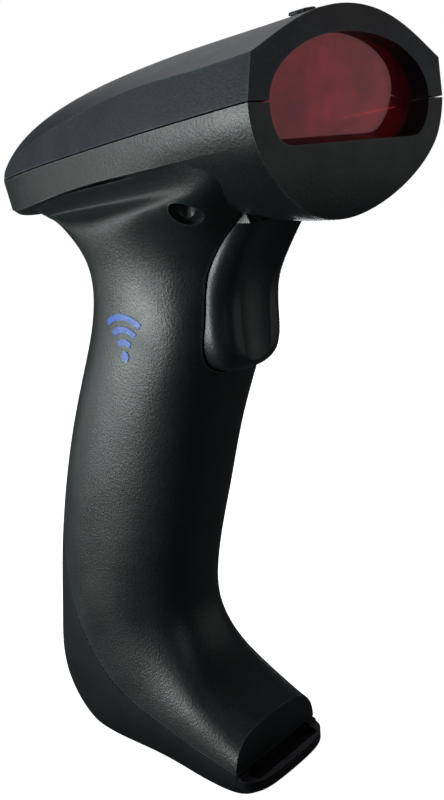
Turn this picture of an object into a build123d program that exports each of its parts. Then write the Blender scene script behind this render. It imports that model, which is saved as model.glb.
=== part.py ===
from build123d import *
import math
import os

# Handheld cordless barcode scanner, in millimetres.
# Z is up, the reading window faces -Y, X runs across the scanner.
# The origin is on the surface that the foot stands on, under the middle of the whole scanner.
# "Distance" always means the distance back from the flat nose face towards the tail.

# ---------------------------------------------------------------- driving dimensions
HEAD_LENGTH = 104.8          # nose face to tail tip
TAPER_LENGTH = 106.0         # the head's width would run out to nothing this far back
HEAD_HALF_WIDTH = 33.0       # at the parting seam, on the nose face
NOSE_Y = -HEAD_LENGTH / 2    # where the nose face stands
WALL = 2.2                   # moulded shell thickness
SEAM_GAP = 0.3               # shadow gap between two shells
FIT = 0.12                   # gap round parts that are seated in a pocket
SNUG = 0.02                  # gap round threads, pins and other pieces that are pressed or screwed in
SLIDE = 0.4                  # gap round the trigger
RUNNING = 0.04               # radial clearance of running fits

SEAM_AT_NOSE = 152.9         # height of the head's parting seam at the nose
SEAM_FALL = 0.1245           # how much the seam drops per millimetre towards the tail
CROWN_RISE = 16.7            # top of the head above the seam
FLANK_RISE = 9.8             # flat side facet above the seam
FLANK_LEAN = 0.20            # inward lean of that facet
NOSE_DEPTH = 21.7            # underside of the nose below the seam
BAND_DEPTH = 6.6             # lower side band below the seam
RING_DEPTH = 9.5             # solid wall round the reading window

WINDOW_HALF_WIDTH = 27.0
WINDOW_TOP = 164.8
WINDOW_BOTTOM = 145.4
WINDOW_TILT = 6.0            # degrees, top edge forward
PANE_DISTANCE = 4.3          # front of the pane at mid height
PANE_THICKNESS = 1.6
GASKET_THICKNESS = 0.8
RETAINER_THICKNESS = 1.4
PANE_LAP = 1.4               # how far the pane reaches behind the opening's edge
POCKET_DEPTH = 7.0           # pocket behind the opening that holds pane, gasket and retainer

FOOT_HALF_WIDTH = 15.4
TOE_DISTANCE = 28.0          # end face of the housing's toe
LIP_DISTANCE = 22.6          # front of the base cover's lip
LIP_HEIGHT = 3.4             # height of that lip
PORT_DISTANCE = 74.0         # charging socket in the sole

TRIGGER_HALF_WIDTH = 11.0
TRIGGER_BOTTOM = 98.3
PIVOT = (24.0, 134.8)        # trigger hinge: distance, height
PIN_RADIUS = 1.0
EAR_THICKNESS = 2.0          # plates that hold the trigger's pin
SPRING_HEIGHT = 120.0
SEAT_DISTANCE = 42.0         # wall that the trigger's spring pushes against

SCREW_RADIUS = 1.25          # case screws
HEAD_RADIUS = 2.4
HEAD_HEIGHT = 1.5
COVER_SCREW = (20.7, 26.9)   # half spacing and distance of the front cover screws
TAIL_SCREW_DISTANCE = 93.0
BORE_CEILING = 141.8         # where the front cover screws' heads seat
TAIL_CEILING = 134.6         # where the tail screw's head seats
BASE_SCREW = (8.6, 47.0)     # half spacing and distance of the base cover's screws
SMALL_SCREW_RADIUS = 0.9     # screws of the boards and of the scan engine
SMALL_HEAD = (1.7, 1.1)      # their heads: radius, height

BOARD_CENTRE = (54.0, 72.0)  # main board: distance, height
BOARD_LEAN = 8.06            # degrees, lower end rearward like the handle
BOARD_THICKNESS = 1.6
BATTERY_RADIUS = 9.1
BATTERY_LENGTH = 65.0

ENGINE_FLOOR = 145.6         # underside of the scan engine's chassis
ENGINE_CENTRE = 31.0         # distance of the chassis' middle
MIRROR = (-4.5, 32.0)        # middle of the scan mirror's face: x, distance
OPTICS_HEIGHT = 153.0        # height of the laser beam


def back(distance):
    """The Y of a point this far behind the nose face."""
    return NOSE_Y + distance


def cross_plane(distance):
    """An upright plane across the scanner: local x is X and local y is Z."""
    return Plane(origin=(0, back(distance), 0), x_dir=(1, 0, 0), z_dir=(0, -1, 0))


def side_plane(x=0.0):
    """An upright plane along the scanner: local x is the distance back and local y is Z."""
    return Plane(origin=(x, NOSE_Y, 0), x_dir=(0, 1, 0), z_dir=(1, 0, 0))


# ---------------------------------------------------------------- shape laws of the head
def seam_height(distance):
    return SEAM_AT_NOSE - SEAM_FALL * distance


def taper(distance, start_power, end_power):
    """Falls from 1 at the nose to 0 at the tail: a smooth, blunt-tipped law."""
    return (1 - (max(distance, 0) / TAPER_LENGTH) ** start_power) ** end_power


def head_half_width(distance):
    return HEAD_HALF_WIDTH * taper(distance, 1.2, 0.667)


def crown_height(distance):
    return seam_height(distance) + CROWN_RISE * taper(distance, 3.9, 0.68)


def head_section(distance, inset=0.0):
    """Closed outline of the head on an upright plane: arched crown, side facets, lower band and keel."""
    seam = seam_height(distance)
    width = head_half_width(distance) - inset
    crown = crown_height(distance) - inset
    shrink = (crown - seam) / CROWN_RISE
    fade = min(max(distance, 0) / 90.0, 1.0)
    nose_blend = max(0.0, 1 - (max(distance, 0) / 44.0) ** 2.2)

    facet = FLANK_RISE * shrink * (1 - 0.20 * nose_blend**3 - 0.25 * fade)
    crease = (width - FLANK_LEAN * facet, seam + facet)
    rise = crown - crease[1]
    slope = 0.42 + 1.3 * fade**2

    band = (BAND_DEPTH + 3.6 * max(0.0, (distance - 45) / 50) ** 2) * shrink**0.35
    ridge = (width - 0.7 - 0.9 * nose_blend - 0.9 * fade, seam - band)
    keel = seam - band - 1.5 - (NOSE_DEPTH - BAND_DEPTH - 1.5) * nose_blend + inset
    drop = ridge[1] - keel

    arch = [
        crease,
        (crease[0] * 0.75, crease[1] + min(crease[0] * 0.25 * slope, rise * 0.9)),
        (crease[0] * 0.45, crown),
        (0, crown),
    ]
    side = [
        (width, seam),
        (width - (width - ridge[0]) * (0.5 - 0.5 * nose_blend), seam - band * 0.5),
        ridge,
    ]
    belly = [
        ridge,
        (ridge[0] * (0.86 + 0.04 * nose_blend), ridge[1] - drop * 0.45 * nose_blend),
        (ridge[0] * 0.46, keel),
        (0, keel),
    ]
    with BuildLine() as outline:
        Line((width, seam), crease)
        Bezier(*arch)
        Bezier(*[(-x, z) for x, z in reversed(arch)])
        Line((-crease[0], crease[1]), (-width, seam))
        Bezier(*[(-x, z) for x, z in side])
        Bezier(*[(-x, z) for x, z in belly])
        Bezier(*reversed(belly))
        Bezier(*reversed(side))
    return outline.line


def head_solid(stations, inset=0.0):
    """The head's whole outer body, or the hollow inside it when there is an inset."""
    with BuildPart() as solid:
        for station in stations:
            with BuildSketch(cross_plane(station)):
                with BuildLine():
                    add(head_section(station, inset))
                make_face()
        loft()
    return solid.part


# ---------------------------------------------------------------- shape laws of the neck, handle and foot
# poles of the half outlines: fraction of the half width, fraction of the depth from front to rear
OVAL = [(0, 0), (0.70, 0), (1.05, 0.10), (1.08, 0.38), (1.08, 0.64), (1.05, 0.90), (0.62, 1), (0, 1)]
BLUNT = [(0, 0), (0.86, 0), (1.22, 0.02), (1.06, 0.38), (1.08, 0.64), (1.05, 0.90), (0.62, 1), (0, 1)]
SCOOPED = [(0, 0), (0.72, 0), (0.76, 0.10), (1.14, 0.26), (1.16, 0.58), (1.06, 0.90), (0.62, 1), (0, 1)]
BOXED = [(0, 0), (0.86, 0), (1.08, 0.04), (1.12, 0.40), (1.02, 0.62), (1.06, 0.98), (0.98, 1), (0, 1)]
TEARDROP = [(0, 0), (1.60, 0), (1.00, 0.05), (0.84, 0.26), (0.84, 0.50), (0.40, 0.74), (0.38, 1), (0, 1)]
FOOT_BLANK = -4.0            # the foot is drawn this low, then cut flat at height 0


def mix(shape_a, shape_b, part):
    """A half outline part of the way from shape_a to shape_b."""
    return [
        (xa + (xb - xa) * part, ya + (yb - ya) * part)
        for (xa, ya), (xb, yb) in zip(shape_a, shape_b)
    ]


GRIP = [
    # front point, rear point (distance, height), half width, outline
    ((16.0, 8.6), (15.0, FOOT_BLANK), FOOT_HALF_WIDTH, BOXED),
    ((27.4, 13.8), (30.0, FOOT_BLANK), FOOT_HALF_WIDTH, BOXED),
    ((35.8, 18.9), (47.0, FOOT_BLANK), FOOT_HALF_WIDTH, BOXED),
    ((42.4, 24.2), (65.0, FOOT_BLANK), FOOT_HALF_WIDTH, mix(BOXED, SCOOPED, 0.2)),
    ((46.6, 30.0), (82.5, FOOT_BLANK + 0.5), FOOT_HALF_WIDTH, mix(BOXED, SCOOPED, 0.4)),
    ((48.6, 36.2), (93.8, 8.0), FOOT_HALF_WIDTH, mix(BOXED, SCOOPED, 0.65)),
    ((48.4, 44.4), (94.1, 26.0), 15.5, mix(BOXED, SCOOPED, 0.8)),
    ((45.8, 56.0), (92.0, 45.0), 15.5, mix(SCOOPED, BLUNT, 0.2)),
    ((42.2, 69.0), (88.0, 63.0), 15.5, mix(SCOOPED, BLUNT, 0.35)),
    ((38.4, 83.0), (82.6, 80.0), 15.5, mix(SCOOPED, BLUNT, 0.5)),
    ((33.6, 97.0), (76.0, 96.0), 15.6, mix(SCOOPED, BLUNT, 0.8)),
    ((29.2, 110.0), (70.5, 111.0), 15.7, mix(OVAL, BLUNT, 0.7)),
    ((25.8, 121.0), (70.8, 122.0), 16.4, OVAL),
    ((21.2, 130.5), (79.2, 129.0), 19.0, mix(OVAL, TEARDROP, 0.35)),
    ((12.5, 138.0), (88.5, 131.0), 24.8, TEARDROP),
    ((6.0, 145.0), (97.0, 133.8), 28.4, TEARDROP),
]


def grip_plane(front, rear):
    """A plane across the grip, from its front point to its rear point: local y runs rearward."""
    run = Vector(0, rear[0] - front[0], rear[1] - front[1]).normalized()
    return Plane(
        origin=(0, back((front[0] + rear[0]) / 2), (front[1] + rear[1]) / 2),
        x_dir=(1, 0, 0),
        z_dir=Vector(1, 0, 0).cross(run),
    )


def widest(poles):
    """The largest half width that a Bezier half outline with these poles reaches."""
    degree = len(poles) - 1

    def half_width_at(t):
        return sum(
            math.comb(degree, k) * t**k * (1 - t) ** (degree - k) * x for k, (x, _) in enumerate(poles)
        )

    return max(half_width_at(step / 40) for step in range(41))


def grip_section(front, rear, half_width, shape, inset=0.0):
    """Closed outline of the grip: one smooth curve down each side from front point to rear point."""
    half_depth = math.dist(front, rear) / 2 - inset
    scale = (half_width - inset) / widest(shape)
    poles = [(wide * scale, half_depth * (2 * deep - 1)) for wide, deep in shape]
    with BuildLine() as outline:
        Bezier(*poles)
        Bezier(*[(-x, y) for x, y in reversed(poles)])
    return outline.line


def grip_solid(inset=0.0, first=0, floor=FOOT_BLANK):
    """The whole grip, or the hollow inside it; floor lifts the rear points clear of the foot's sole."""
    with BuildPart() as solid:
        for front, rear, half_width, shape in GRIP[first:]:
            rear = (rear[0], max(rear[1], floor - inset))
            with BuildSketch(grip_plane(front, rear)):
                with BuildLine():
                    add(grip_section(front, rear, half_width, shape, inset))
                make_face()
        loft()
    return solid.part


# ---------------------------------------------------------------- cutters shared by the shells
def seam_plane(offset):
    """The parting plane of the head, which slopes down towards the tail."""
    return Plane(
        origin=(0, NOSE_Y, SEAM_AT_NOSE), x_dir=(1, 0, 0), z_dir=(0, SEAM_FALL, 1)
    ).offset(offset)


def window_outline(grow=0.0):
    """The reading window: an arched top, short upright sides and a flat bottom with round corners."""
    half = WINDOW_HALF_WIDTH + grow
    top = WINDOW_TOP + grow
    bottom = WINDOW_BOTTOM - grow
    side = 153.0
    arch = [(half, side), (half, side + 5.5), (half * 0.62, top), (0, top)]
    corner = [(half, side), (half, side - 3.6), (half - 1.6, bottom), (half - 6.8, bottom)]
    with BuildLine() as outline:
        Bezier(*arch)
        Bezier(*[(-x, z) for x, z in reversed(arch)])
        Bezier(*[(-x, z) for x, z in corner])
        Line((-corner[-1][0], bottom), corner[-1])
        Bezier(*reversed(corner))
    return outline.line


def pane_plane(depth):
    """The tilted plane of the window pane, at this depth behind the pane's front face."""
    tilt = math.radians(WINDOW_TILT)
    pivot_height = 155.0
    tilted = Plane(
        origin=(0, back(PANE_DISTANCE), pivot_height),
        x_dir=(1, 0, 0),
        z_dir=(0, -math.cos(tilt), -math.sin(tilt)),
    )
    lowered = tilted.offset(-depth)
    lowered.origin = lowered.origin - lowered.y_dir * pivot_height
    return lowered


def pane_slab(grow, start, thickness):
    """A slab with the window's outline, lying on the tilted pane plane."""
    with BuildPart() as slab:
        with BuildSketch(pane_plane(start + thickness)):
            with BuildLine():
                add(window_outline(grow))
            make_face()
        extrude(amount=thickness)
    return slab.part


with BuildPart() as window_tunnel:
    with BuildSketch(cross_plane(PANE_DISTANCE + 2)):
        with BuildLine():
            add(window_outline())
        make_face()
    extrude(amount=PANE_DISTANCE + 4)

# The face is flat down to the window's lower edge, then rolls back.
with BuildPart() as chin_cutter:
    with BuildSketch(side_plane()):
        with BuildLine():
            ThreePointArc((0, 146), (1.05, 138), (4.2, 129.2))
            Polyline((4.2, 129.2), (6, 120), (-20, 120), (-20, 180), (0, 180), (0, 146))
        make_face()
    extrude(amount=HEAD_HALF_WIDTH + 5, both=True)

# The underside of the tail is raked forward.
with BuildPart() as tail_cutter:
    with BuildSketch(side_plane()):
        with BuildLine():
            Polyline((107.2, 140.6), (100.2, 130.6), (100.2, 120), (120, 120), (120, 140.6), close=True)
        make_face()
    extrude(amount=20, both=True)

# Everything behind and below this line belongs to the base cover.
BASE_SEAM = [
    (96, 74), (88.5, 57.5), (84.2, 48), (81.5, 39), (78.8, 31.5), (75.3, 25.5),
    (70.5, 19.2), (64, 14.4), (55.3, 11.2), (45.6, 8.7), (37.8, 6.9), (10, 2.2),
]


def base_region(grow=0.0):
    """The space that the base cover takes from the grip, grown up and forward for the shadow gap."""
    seam = [(distance - 0.7 * grow, height + 0.7 * grow) for distance, height in BASE_SEAM]
    with BuildPart() as region:
        with BuildSketch(side_plane()):
            with BuildLine():
                Spline(*seam)
                Polyline(seam[-1], (seam[-1][0], -5), (120, -5), (120, seam[0][1]), seam[0])
            make_face()
        extrude(amount=FOOT_HALF_WIDTH + 6, both=True)
    return region.part


# ---------------------------------------------------------------- blanks
HEAD_STATIONS = [-12, -2, 8, 18, 28, 38, 48, 58, 68, 78, 87, 94, 99.5, 103, HEAD_LENGTH]
HOLLOW_STATIONS = [RING_DEPTH, 19, 28, 38, 48, 58, 68, 78, 87]

with BuildPart() as head_blank:
    add(head_solid(HEAD_STATIONS))
    add(chin_cutter.part, mode=Mode.SUBTRACT)
    add(tail_cutter.part, mode=Mode.SUBTRACT)

head_hollow = head_solid(HOLLOW_STATIONS, WALL)

with BuildPart() as grip_blank:
    add(grip_solid())
    with BuildSketch(Plane.XY):
        Rectangle(100, 200)
    extrude(amount=-10, mode=Mode.SUBTRACT)

grip_hollow = grip_solid(WALL, first=2, floor=WALL)

# Head underside and grip in one piece, ending in a flat toe above the base cover's lip.
with BuildPart() as toe_cutter:
    with BuildSketch(side_plane()):
        with BuildLine():
            Polyline((TOE_DISTANCE + 0.4, 30), (TOE_DISTANCE, 6), (TOE_DISTANCE - 0.3, -10))
            Polyline((TOE_DISTANCE - 0.3, -10), (-5, -10), (-5, 30), (TOE_DISTANCE + 0.4, 30))
        make_face()
    extrude(amount=30, both=True)

with BuildPart() as housing_blank:
    add(head_blank.part)
    split(bisect_by=seam_plane(-SEAM_GAP / 2), keep=Keep.BOTTOM)
    add(grip_blank.part)
    add(toe_cutter.part, mode=Mode.SUBTRACT)

window_pocket = pane_slab(PANE_LAP + FIT, 0.0, POCKET_DEPTH)
base_space = base_region()
base_space_grown = base_region(SEAM_GAP)

os.makedirs("parts", exist_ok=True)


def mirrored(x, distance):
    """The same place on both sides of the scanner."""
    return [(-x, back(distance)), (x, back(distance))]


# ---------------------------------------------------------------- places of the screws
COVER_SCREWS = mirrored(*COVER_SCREW)
TAIL_SCREW = (0, back(TAIL_SCREW_DISTANCE))
BASE_SCREWS = mirrored(*BASE_SCREW)
ENGINE_SCREWS = mirrored(19.6, 17.5) + mirrored(19.6, 42.5)
BOARD_SCREWS = [(-7.5, 20.0), (7.5, 20.0), (0, -28.0)]     # on the main board
HOLDER_SCREWS = [(0, 9.0), (0, -13.5)]                     # on the main board
BOSS_RADIUS = 3.0
TOWER_RADIUS = 4.8           # tubes round the screw access bores
SCREW_FLOOR = 2.0            # plastic above a screw's head
SHELF_THICKNESS = 3.6        # shelves that carry the scan engine


def board_plane(forward=0.0):
    """The main board's plane: local x is X, local y runs up the board, the normal points forward."""
    lean = math.radians(BOARD_LEAN)
    return Plane(
        origin=(0, back(BOARD_CENTRE[0]), BOARD_CENTRE[1]),
        x_dir=(1, 0, 0),
        z_dir=(0, -math.cos(lean), -math.sin(lean)),
    ).offset(forward)


# ---------------------------------------------------------------- top cover
LENS_DISTANCE = 5.4          # front edge of the status lenses
LENS_SIZE = (5.2, 3.6)
LENS_X = (-6.4, 0.0, 6.4)
LENS_RISE = 0.85             # how far they stand out of the crown
LENS_SEAT = 168.0            # height of the recesses that hold them
LENS_STEM = (1.7, 0.9)
LENS_PLACES = [(x, back(LENS_DISTANCE) + LENS_SIZE[1] / 2) for x in LENS_X]
STEM_PLACES = [(x, back(LENS_DISTANCE) + 2.9) for x in LENS_X]
STATUS_BOARD_TOP = 164.9
STATUS_BOARD_SIZE = (16.6, 6.6)
STATUS_POSTS = mirrored(7.0, 12.8)

with BuildPart() as cover_bosses:
    with BuildSketch(Plane.XY.offset(140)):
        with Locations(*COVER_SCREWS):
            Circle(BOSS_RADIUS)
        with Locations(TAIL_SCREW):
            Circle(BOSS_RADIUS)
    extrude(amount=25)
    split(bisect_by=seam_plane(SEAM_GAP / 2), keep=Keep.TOP)
    # posts with pins that the status board is staked to
    with BuildSketch(Plane.XY.offset(STATUS_BOARD_TOP)):
        with Locations(*STATUS_POSTS):
            Circle(1.7)
    extrude(amount=3)
    with BuildSketch(Plane.XY.offset(STATUS_BOARD_TOP - 1.4)):
        with Locations(*STATUS_POSTS):
            Circle(0.9)
    extrude(amount=3)
    add(head_blank.part, mode=Mode.INTERSECT)

with BuildPart() as top_cover:
    add(head_blank.part)
    split(bisect_by=seam_plane(SEAM_GAP / 2), keep=Keep.TOP)
    add(head_hollow, mode=Mode.SUBTRACT)
    add(window_tunnel.part, mode=Mode.SUBTRACT)
    add(window_pocket, mode=Mode.SUBTRACT)
    add(cover_bosses.part)
    with BuildSketch(Plane.XY.offset(138)):
        with Locations(*COVER_SCREWS):
            Circle(SCREW_RADIUS + SNUG)
    extrude(amount=17, mode=Mode.SUBTRACT)
    with BuildSketch(Plane.XY.offset(134)):
        with Locations(TAIL_SCREW):
            Circle(SCREW_RADIUS + SNUG)
    extrude(amount=13, mode=Mode.SUBTRACT)
    # recesses for the status lenses, with slots for their stems
    with BuildSketch(Plane.XY.offset(165)):
        with Locations(*STEM_PLACES):
            Rectangle(LENS_STEM[0] + 2 * FIT, LENS_STEM[1] + 2 * FIT)
    extrude(amount=5, mode=Mode.SUBTRACT)
    with BuildSketch(Plane.XY.offset(LENS_SEAT)):
        with Locations(*LENS_PLACES):
            RectangleRounded(LENS_SIZE[0] + 2 * FIT, LENS_SIZE[1] + 2 * FIT, 1.2 + FIT)
    extrude(amount=5, mode=Mode.SUBTRACT)
top_cover.part.label = "top_cover"
export_step(top_cover.part, "parts/top_cover.step")


# ---------------------------------------------------------------- lower housing
def trigger_outline(top, grow=0.0):
    """Front view of the trigger up to a height: upright sides and a deeply rounded lower end."""
    half = TRIGGER_HALF_WIDTH + grow
    bottom = TRIGGER_BOTTOM - grow
    shoulder = TRIGGER_BOTTOM + 10.5
    cheek = [(half, shoulder), (half, bottom + 2.0), (half * 0.72, bottom), (0, bottom)]
    with BuildLine() as outline:
        Polyline((half, shoulder), (half, top), (-half, top), (-half, shoulder))
        Bezier(*[(-x, z) for x, z in cheek])
        Bezier(*reversed(cheek))
    return outline.line


MOUTH = (21.6, 25.8, 133.2)  # where a cover screw's access bore opens: half spacing, distance, height
MOUTH_RADIUS = 3.6
MOUTH_AIM = (0.75, 0.35, 0.56)   # how far it faces outward, forward and down

with BuildPart() as bore_mouths:
    for side in (-1, 1):
        outward, forward, down = MOUTH_AIM
        mouth_plane = Plane(
            origin=(side * MOUTH[0], back(MOUTH[1]), MOUTH[2]), z_dir=(side * outward, -forward, -down)
        )
        with BuildSketch(mouth_plane.offset(-3.0)):
            Circle(MOUTH_RADIUS)
        extrude(amount=14)

with BuildPart() as housing_bosses:
    # tubes round the screw access bores, then slimmer posts up to the parting seam
    with BuildSketch(Plane.XY.offset(122)):
        with Locations(*COVER_SCREWS):
            Circle(TOWER_RADIUS)
    extrude(amount=BORE_CEILING + SCREW_FLOOR - 122)
    with BuildSketch(Plane.XY.offset(BORE_CEILING)):
        with Locations(*COVER_SCREWS):
            Circle(BOSS_RADIUS)
    extrude(amount=12)
    with BuildSketch(Plane.XY.offset(122)):
        with Locations(TAIL_SCREW):
            Circle(TOWER_RADIUS)
    extrude(amount=TAIL_CEILING + SCREW_FLOOR - 122)
    with BuildSketch(Plane.XY.offset(TAIL_CEILING)):
        with Locations(TAIL_SCREW):
            Circle(BOSS_RADIUS)
    extrude(amount=12)
    # plates that hold the trigger's pin
    with BuildSketch(side_plane(TRIGGER_HALF_WIDTH + SLIDE)):
        with BuildLine():
            Polyline((9, 127), (22, 124), (30, 124), (30, 138.5), (9, 138.5), close=True)
        make_face()
    extrude(amount=EAR_THICKNESS)
    mirror(about=Plane.YZ)
    # shelves for the scan engine's ears
    with BuildSketch(Plane.XY.offset(ENGINE_FLOOR - SHELF_THICKNESS)):
        with Locations(*mirrored(24.5, 17.5), *mirrored(24.5, 42.5)):
            Rectangle(14, 5)
    extrude(amount=SHELF_THICKNESS)
    # wall behind the trigger spring
    with BuildSketch(cross_plane(SEAT_DISTANCE + 1.6)):
        with Locations((0, SPRING_HEIGHT)):
            Rectangle(36, 7)
    extrude(amount=1.6)
    # posts for the main board
    with BuildSketch(board_plane()):
        with Locations(*BOARD_SCREWS):
            Circle(2.3)
    extrude(amount=20)
    # posts for the base cover's screws
    with BuildSketch(Plane.XY.offset(3.6)):
        with Locations(*BASE_SCREWS):
            Circle(BOSS_RADIUS)
    extrude(amount=30)
    add(housing_blank.part, mode=Mode.INTERSECT)

with BuildPart() as lower_housing:
    add(housing_blank.part)
    add(head_hollow, mode=Mode.SUBTRACT)
    add(grip_hollow, mode=Mode.SUBTRACT)
    # slot that the trigger moves in
    with BuildSketch(cross_plane(SEAT_DISTANCE)):
        with BuildLine():
            add(trigger_outline(PIVOT[1] + 5.2, SLIDE))
        make_face()
    extrude(amount=SEAT_DISTANCE - 15, mode=Mode.SUBTRACT)
    # way through from the head into the handle
    with BuildSketch(Plane.XY.offset(134)):
        with Locations((0, back(43))):
            RectangleRounded(28, 42, 8)
    extrude(amount=12, mode=Mode.SUBTRACT)
    add(housing_bosses.part)
    add(window_tunnel.part, mode=Mode.SUBTRACT)
    add(window_pocket, mode=Mode.SUBTRACT)
    add(base_space_grown, mode=Mode.SUBTRACT)
    # screw access bores and their screw holes
    add(bore_mouths.part, mode=Mode.SUBTRACT)
    with BuildSketch(Plane.XY.offset(BORE_CEILING)):
        with Locations(*COVER_SCREWS):
            Circle(HEAD_RADIUS + 0.2)
    extrude(amount=-9.3, mode=Mode.SUBTRACT)
    with BuildSketch(Plane.XY.offset(TAIL_CEILING)):
        with Locations(TAIL_SCREW):
            Circle(HEAD_RADIUS + 0.2)
    extrude(amount=-12, mode=Mode.SUBTRACT)
    with BuildSketch(Plane.XY.offset(130)):
        with Locations(*COVER_SCREWS, TAIL_SCREW):
            Circle(SCREW_RADIUS + 0.2)
    extrude(amount=24, mode=Mode.SUBTRACT)
    # seats of the trigger's pin
    with BuildSketch(side_plane()):
        with Locations(PIVOT):
            Circle(PIN_RADIUS + SNUG)
    extrude(amount=TRIGGER_HALF_WIDTH + SLIDE + EAR_THICKNESS, both=True, mode=Mode.SUBTRACT)
    # holes for the engine's, the main board's and the base cover's screws
    with BuildSketch(Plane.XY.offset(ENGINE_FLOOR)):
        with Locations(*ENGINE_SCREWS):
            Circle(SMALL_SCREW_RADIUS + SNUG)
    extrude(amount=-SHELF_THICKNESS, mode=Mode.SUBTRACT)
    with BuildSketch(board_plane()):
        with Locations(*BOARD_SCREWS):
            Circle(SMALL_SCREW_RADIUS + SNUG)
    extrude(amount=5, mode=Mode.SUBTRACT)
    with BuildSketch(Plane.XY.offset(3)):
        with Locations(*BASE_SCREWS):
            Circle(SCREW_RADIUS + SNUG)
    extrude(amount=13, mode=Mode.SUBTRACT)
lower_housing.part.label = "lower_housing"
export_step(lower_housing.part, "parts/lower_housing.step")

# ---------------------------------------------------------------- base cover
POWER_BOARD_HEIGHT = 8.0
POWER_BOARD_POSTS = mirrored(6.6, 66.0) + mirrored(6.6, 82.0)

# Plan of the lip in front of the toe; behind the toe it is wider than the foot.
with BuildPart() as lip_blank:
    with BuildSketch(Plane.XY):
        with BuildLine():
            half = FOOT_HALF_WIDTH - 0.25
            front_edge = [
                (half, back(LIP_DISTANCE + 5.5)),
                (half, back(LIP_DISTANCE + 1.0)),
                (half * 0.72, back(LIP_DISTANCE)),
                (0, back(LIP_DISTANCE)),
            ]
            Bezier(*front_edge)
            Bezier(*[(-x, y) for x, y in reversed(front_edge)])
            Polyline(
                (-half, back(LIP_DISTANCE + 5.5)),
                (-half - 5, back(LIP_DISTANCE + 8)),
                (-half - 5, back(120)),
                (half + 5, back(120)),
                (half + 5, back(LIP_DISTANCE + 8)),
                (half, back(LIP_DISTANCE + 5.5)),
            )
        make_face()
    extrude(amount=80)
    with BuildSketch(side_plane()):
        with BuildLine():
            Polyline((10, LIP_HEIGHT - 0.6), (TOE_DISTANCE - 1, LIP_HEIGHT + 0.8), (TOE_DISTANCE - 1, 30))
            Polyline((TOE_DISTANCE - 1, 30), (10, 30), (10, LIP_HEIGHT - 0.6))
        make_face()
    extrude(amount=25, both=True, mode=Mode.SUBTRACT)

with BuildPart() as base_posts:
    with BuildSketch(Plane.XY):
        with Locations(*BASE_SCREWS):
            Circle(BOSS_RADIUS)
    extrude(amount=30)
    add(grip_blank.part, mode=Mode.INTERSECT)
    add(base_space, mode=Mode.INTERSECT)

with BuildPart() as base_cover:
    add(grip_blank.part)
    add(base_space, mode=Mode.INTERSECT)
    add(lip_blank.part, mode=Mode.INTERSECT)
    add(grip_hollow, mode=Mode.SUBTRACT)
    add(base_posts.part)
    # shallow recess between the lip and the housing's toe
    with BuildSketch(Plane.XY.offset(2.0)):
        with Locations((0, back((LIP_DISTANCE + TOE_DISTANCE) / 2 + 1.2))):
            RectangleRounded(2 * FOOT_HALF_WIDTH - 6.5, TOE_DISTANCE - LIP_DISTANCE - 0.6, 1.5)
    extrude(amount=8, mode=Mode.SUBTRACT)
    # posts with pins that the power board is staked to
    with BuildSketch(Plane.XY.offset(WALL / 2)):
        with Locations(*POWER_BOARD_POSTS):
            Circle(2.0)
    extrude(amount=POWER_BOARD_HEIGHT - WALL / 2)
    with BuildSketch(Plane.XY.offset(POWER_BOARD_HEIGHT)):
        with Locations(*POWER_BOARD_POSTS):
            Circle(0.9)
    extrude(amount=BOARD_THICKNESS + 0.5)
    # hook that slides up inside the housing's back
    with BuildSketch(side_plane()):
        with BuildLine():
            Polyline((91.4, 40), (87.0, 52), (85.4, 61), (83.8, 61), (85.3, 51), (88.6, 40), close=True)
        make_face()
    extrude(amount=5, both=True)
    # screw holes and the charging socket's opening
    with BuildSketch(Plane.XY):
        with Locations(*BASE_SCREWS):
            Circle(SCREW_RADIUS + 0.2)
    extrude(amount=12, mode=Mode.SUBTRACT)
    with BuildSketch(Plane.XY):
        with Locations((0, back(PORT_DISTANCE))):
            RectangleRounded(8.6, 4.8, 1.0)
    extrude(amount=WALL + 1, mode=Mode.SUBTRACT)
    with BuildSketch(Plane.XY):
        with Locations(*BASE_SCREWS):
            Circle(HEAD_RADIUS + 0.3)
    extrude(amount=HEAD_HEIGHT + 0.3, mode=Mode.SUBTRACT)
base_cover.part.label = "base_cover"
export_step(base_cover.part, "parts/base_cover.step")

# ---------------------------------------------------------------- window
GASKET_START = PANE_THICKNESS + SNUG
RETAINER_START = GASKET_START + GASKET_THICKNESS + SNUG
gasket_opening = pane_slab(-0.2, 0.0, POCKET_DEPTH)
retainer_opening = pane_slab(-0.6, 0.0, POCKET_DEPTH)

with BuildPart() as window_pane:
    add(pane_slab(PANE_LAP, SNUG, PANE_THICKNESS - SNUG))
window_pane.part.label = "window_pane"
export_step(window_pane.part, "parts/window_pane.step")

with BuildPart() as window_gasket:
    add(pane_slab(PANE_LAP, GASKET_START, GASKET_THICKNESS))
    add(gasket_opening, mode=Mode.SUBTRACT)
window_gasket.part.label = "window_gasket"
export_step(window_gasket.part, "parts/window_gasket.step")

with BuildPart() as window_retainer:
    add(pane_slab(PANE_LAP, RETAINER_START, RETAINER_THICKNESS))
    add(retainer_opening, mode=Mode.SUBTRACT)
window_retainer.part.label = "window_retainer"
export_step(window_retainer.part, "parts/window_retainer.step")

# ---------------------------------------------------------------- status lights
lens_skin = head_solid(HEAD_STATIONS, -LENS_RISE)

with BuildPart() as status_lenses:
    for (x, y), stem_place in zip(LENS_PLACES, STEM_PLACES):
        with BuildSketch(Plane.XY.offset(LENS_SEAT + SNUG)):
            with Locations((x, y)):
                RectangleRounded(*LENS_SIZE, 1.2)
        extrude(amount=5)
        with BuildSketch(Plane.XY.offset(STATUS_BOARD_TOP + 1.2)):
            with Locations(stem_place):
                Rectangle(*LENS_STEM)
        extrude(amount=2.5)
    # tops that follow the crown
    add(lens_skin, mode=Mode.INTERSECT)
    fillet(status_lenses.faces().sort_by(Axis.Z)[-3:].edges(), 0.35)
status_lenses.part.label = "status_lenses"
export_step(status_lenses.part, "parts/status_lenses.step")

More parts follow.
